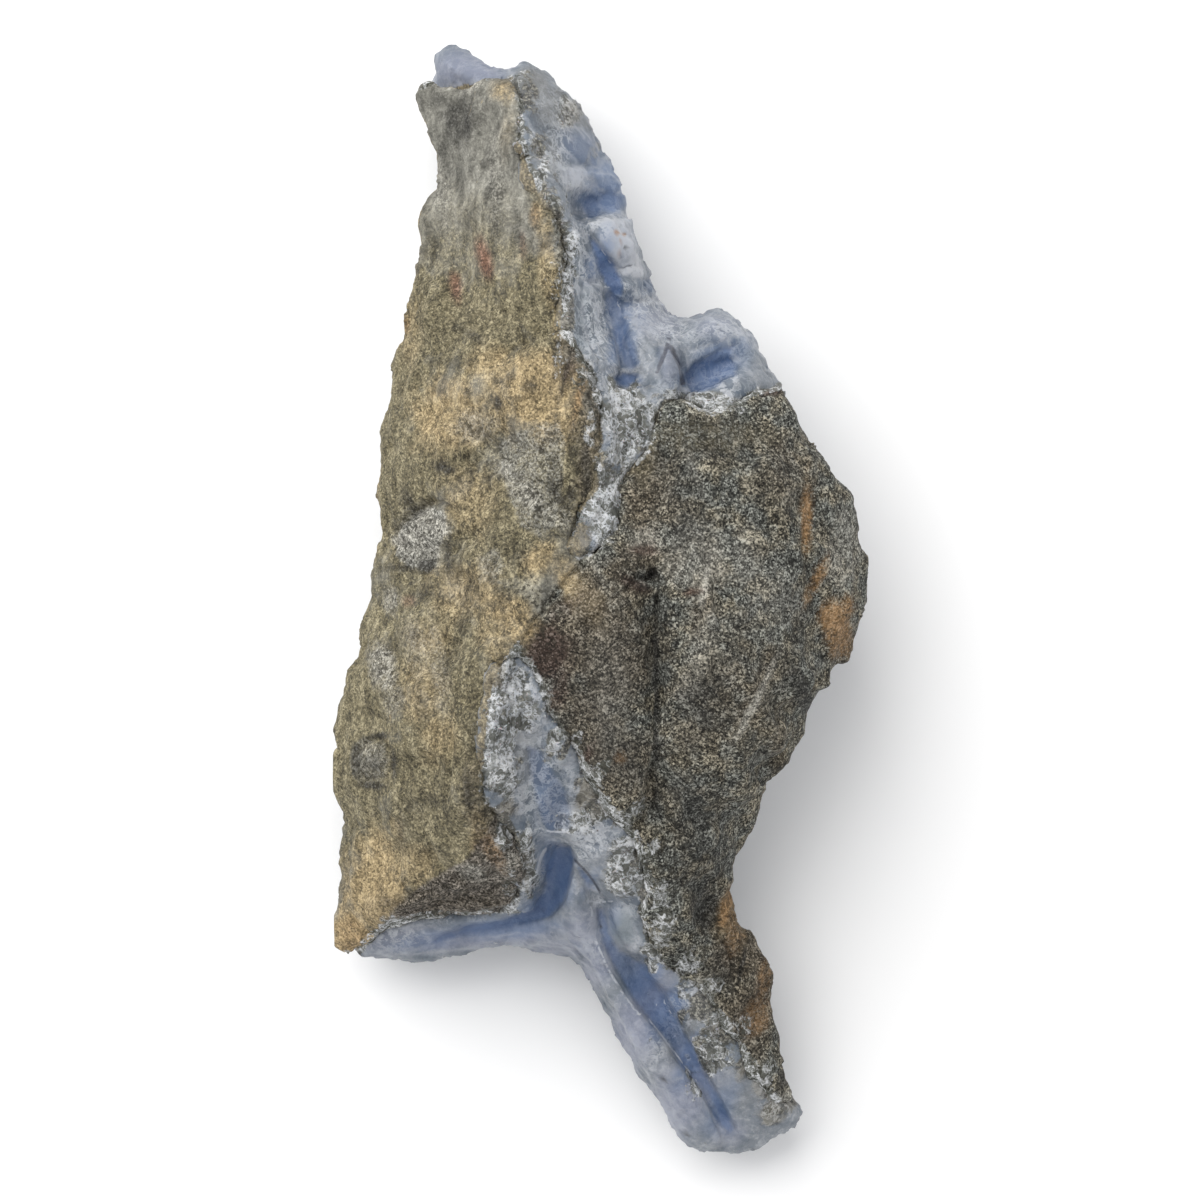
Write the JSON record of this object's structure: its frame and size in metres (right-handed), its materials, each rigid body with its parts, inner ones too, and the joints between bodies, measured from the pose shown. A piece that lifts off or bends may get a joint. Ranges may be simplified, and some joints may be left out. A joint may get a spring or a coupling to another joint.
{
  "type": "blue lace agate specimen",
  "caption": "Rough piece of blue banded chalcedony vein with grey host rock on its face, lying on its broken back.",
  "frame": {"origin": "middle of the whole box, on the surface that the stone rests on", "axes": "+Z out of the stone's face, +Y to the top tip of the stone as pictured, +X to the right block of rock"},
  "size_m": [0.0696, 0.1454, 0.0427],
  "materials": {
    "host_rock": "rough granular grey rock, weathered tan and olive on its left face",
    "blue_agate": "broken waxy chalcedony in pale and deep blue bands, with a sugary crust of white quartz"
  },
  "bodies": {
    "root": {"host_rock": "host_rock", "agate_vein": "blue_agate"}
  },
  "joints": []
}
